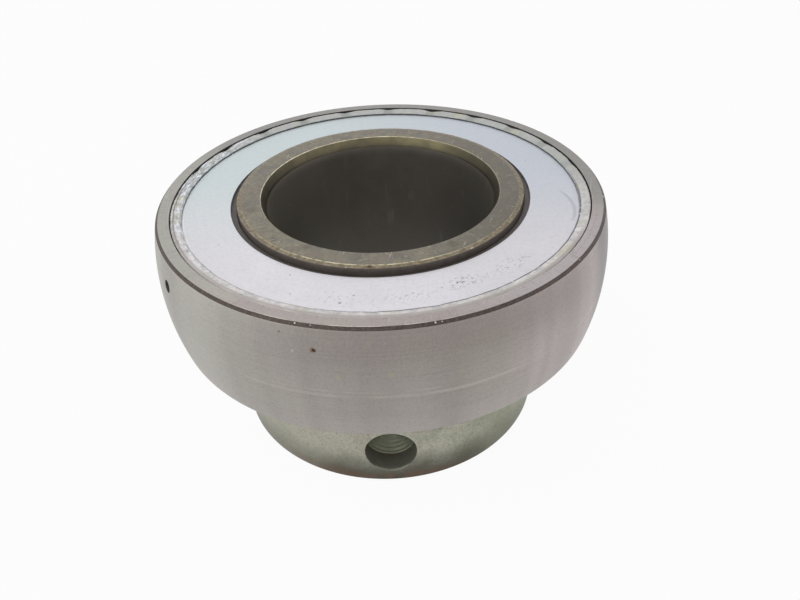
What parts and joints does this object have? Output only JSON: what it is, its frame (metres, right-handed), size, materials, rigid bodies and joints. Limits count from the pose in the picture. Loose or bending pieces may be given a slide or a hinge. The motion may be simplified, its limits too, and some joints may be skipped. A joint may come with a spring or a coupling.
{
  "type": "insert bearing",
  "caption": "Sealed insert ball bearing with a spherical outside and an eccentric locking collar for a plain shaft.",
  "frame": {"origin": "centre of the spherical outside, on the shaft's axis", "axes": "+Z along the shaft's axis towards the flush end, away from the locking collar; -Y towards the drift hole in the collar"},
  "size_m": [0.08, 0.08, 0.0437],
  "materials": {
    "ground_steel": "ground, satin",
    "turned_steel": "turned and worn",
    "collar_steel": "plated, dull, mottled",
    "black_steel": "black oxide",
    "cage_steel": "pressed sheet, oiled",
    "rivet_steel": "plain",
    "ball_steel": "polished",
    "crimped_sheet": "zinc plated, crimped",
    "zinc_plate": "zinc plated, satin",
    "seal_rubber": "moulded"
  },
  "bodies": {
    "outer": {"outer_ring": "ground_steel", "seal_cup_upper": "crimped_sheet", "seal_washer_upper": "zinc_plate", "seal_lip_upper": "seal_rubber", "seal_cup_lower": "crimped_sheet", "seal_washer_lower": "zinc_plate", "seal_lip_lower": "seal_rubber"},
    "inner": {"inner_ring": "turned_steel"},
    "collar": {"locking_collar": "collar_steel"},
    "screw": {"set_screw": "black_steel"},
    "cage": {"cage_upper": "cage_steel", "cage_lower": "cage_steel", "cage_rivets": "rivet_steel"},
    "ball_1": {"ball_1": "ball_steel"},
    "ball_2": {"ball_2": "ball_steel"},
    "ball_3": {"ball_3": "ball_steel"},
    "ball_4": {"ball_4": "ball_steel"},
    "ball_5": {"ball_5": "ball_steel"},
    "ball_6": {"ball_6": "ball_steel"},
    "ball_7": {"ball_7": "ball_steel"},
    "ball_8": {"ball_8": "ball_steel"},
    "ball_9": {"ball_9": "ball_steel"}
  },
  "joints": [
    {"name": "inner_spin", "type": "hinge", "parent": "outer", "child": "inner", "pos_m": [0, 0, 0], "axis": [0, 0, 1], "continuous": true},
    {"name": "cage_orbit", "type": "hinge", "parent": "outer", "child": "cage", "pos_m": [0, 0, 0], "axis": [0, 0, 1], "continuous": true},
    {"name": "ball_1_spin", "type": "hinge", "parent": "cage", "child": "ball_1", "pos_m": [0.02298, 0.01928, 0], "axis": [0, 0, 1], "continuous": true},
    {"name": "ball_2_spin", "type": "hinge", "parent": "cage", "child": "ball_2", "pos_m": [0.00521, 0.02954, 0], "axis": [0, 0, 1], "continuous": true},
    {"name": "ball_3_spin", "type": "hinge", "parent": "cage", "child": "ball_3", "pos_m": [-0.015, 0.02598, 0], "axis": [0, 0, 1], "continuous": true},
    {"name": "ball_4_spin", "type": "hinge", "parent": "cage", "child": "ball_4", "pos_m": [-0.02819, 0.01026, 0], "axis": [0, 0, 1], "continuous": true},
    {"name": "ball_5_spin", "type": "hinge", "parent": "cage", "child": "ball_5", "pos_m": [-0.02819, -0.01026, 0], "axis": [0, 0, 1], "continuous": true},
    {"name": "ball_6_spin", "type": "hinge", "parent": "cage", "child": "ball_6", "pos_m": [-0.015, -0.02598, 0], "axis": [0, 0, 1], "continuous": true},
    {"name": "ball_7_spin", "type": "hinge", "parent": "cage", "child": "ball_7", "pos_m": [0.00521, -0.02954, 0], "axis": [0, 0, 1], "continuous": true},
    {"name": "ball_8_spin", "type": "hinge", "parent": "cage", "child": "ball_8", "pos_m": [0.02298, -0.01928, 0], "axis": [0, 0, 1], "continuous": true},
    {"name": "ball_9_spin", "type": "hinge", "parent": "cage", "child": "ball_9", "pos_m": [0.03, 0, 0], "axis": [0, 0, 1], "continuous": true},
    {"name": "collar_lock_turn", "type": "hinge", "parent": "inner", "child": "collar", "pos_m": [0.0008, 0, -0.0165], "axis": [0, 0, 1], "range_deg": [-90, 90]},
    {"name": "set_screw_travel", "type": "slide", "parent": "collar", "child": "screw", "axis": [-0.866, -0.5, 0], "range_m": [-0.004, 0.0015]}
  ],
  "couplings": [
    {"joint": "cage_orbit", "follows": "inner_spin", "ratio": 0.4},
    {"joint": "ball_1_spin", "follows": "inner_spin", "ratio": -2.4},
    {"joint": "ball_2_spin", "follows": "inner_spin", "ratio": -2.4},
    {"joint": "ball_3_spin", "follows": "inner_spin", "ratio": -2.4},
    {"joint": "ball_4_spin", "follows": "inner_spin", "ratio": -2.4},
    {"joint": "ball_5_spin", "follows": "inner_spin", "ratio": -2.4},
    {"joint": "ball_6_spin", "follows": "inner_spin", "ratio": -2.4},
    {"joint": "ball_7_spin", "follows": "inner_spin", "ratio": -2.4},
    {"joint": "ball_8_spin", "follows": "inner_spin", "ratio": -2.4},
    {"joint": "ball_9_spin", "follows": "inner_spin", "ratio": -2.4}
  ]
}
